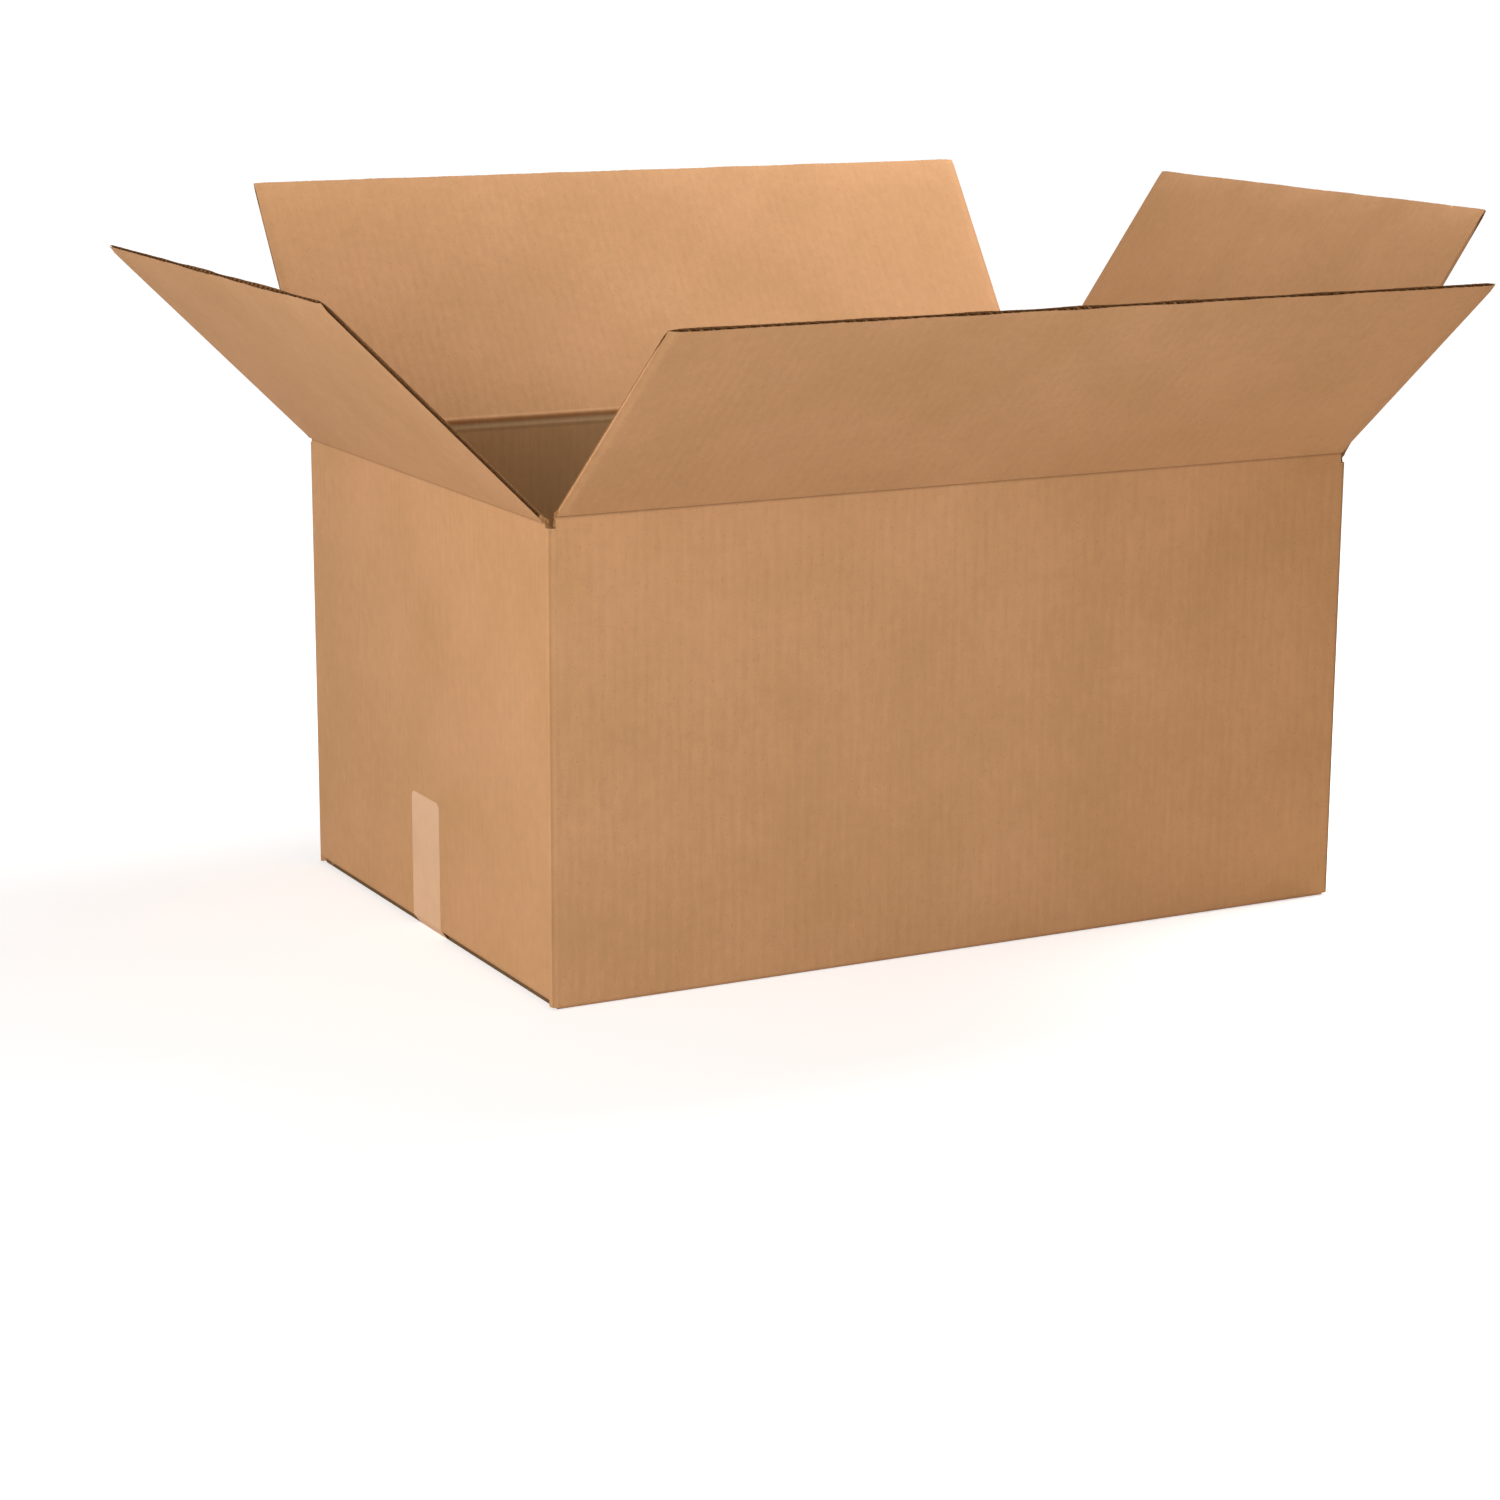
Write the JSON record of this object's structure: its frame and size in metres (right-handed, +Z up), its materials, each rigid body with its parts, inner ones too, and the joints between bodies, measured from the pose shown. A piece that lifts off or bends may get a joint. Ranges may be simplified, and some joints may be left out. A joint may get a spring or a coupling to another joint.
{
  "type": "open cardboard box",
  "caption": "Open shipping carton folded from one sheet of corrugated board, taped along the bottom, with top flaps that swing from shut to hanging outside.",
  "frame": {"origin": "centre of the box's underside, on the plane it stands on", "axes": "+Z up; +X along the length, to the right seen from the front; +Y from the front wall to the back wall"},
  "size_m": [0.8836, 0.6898, 0.4942],
  "materials": {
    "kraft_board": "matt kraft liner with fine fibre",
    "packing_tape": "clear film over kraft, soft gloss"
  },
  "bodies": {
    "box": {"carton": "kraft_board", "bottom_tape": "packing_tape"},
    "front_flap": {"front_flap": "kraft_board"},
    "back_flap": {"back_flap": "kraft_board"},
    "left_flap": {"left_flap": "kraft_board"},
    "right_flap": {"right_flap": "kraft_board"}
  },
  "joints": [
    {"name": "front_flap_hinge", "type": "hinge", "parent": "box", "child": "front_flap", "pos_m": [0, -0.2072, 0.3216], "axis": [1, 0, 0], "range_deg": [-140, 125]},
    {"name": "back_flap_hinge", "type": "hinge", "parent": "box", "child": "back_flap", "pos_m": [0, 0.2072, 0.3216], "axis": [-1, 0, 0], "range_deg": [-124.5, 140.5]},
    {"name": "left_flap_hinge", "type": "hinge", "parent": "box", "child": "left_flap", "pos_m": [-0.3088, 0, 0.3172], "axis": [0, -1, 0], "range_deg": [-135.5, 129.5]},
    {"name": "right_flap_hinge", "type": "hinge", "parent": "box", "child": "right_flap", "pos_m": [0.3088, 0, 0.3172], "axis": [0, 1, 0], "range_deg": [-125, 140]}
  ]
}
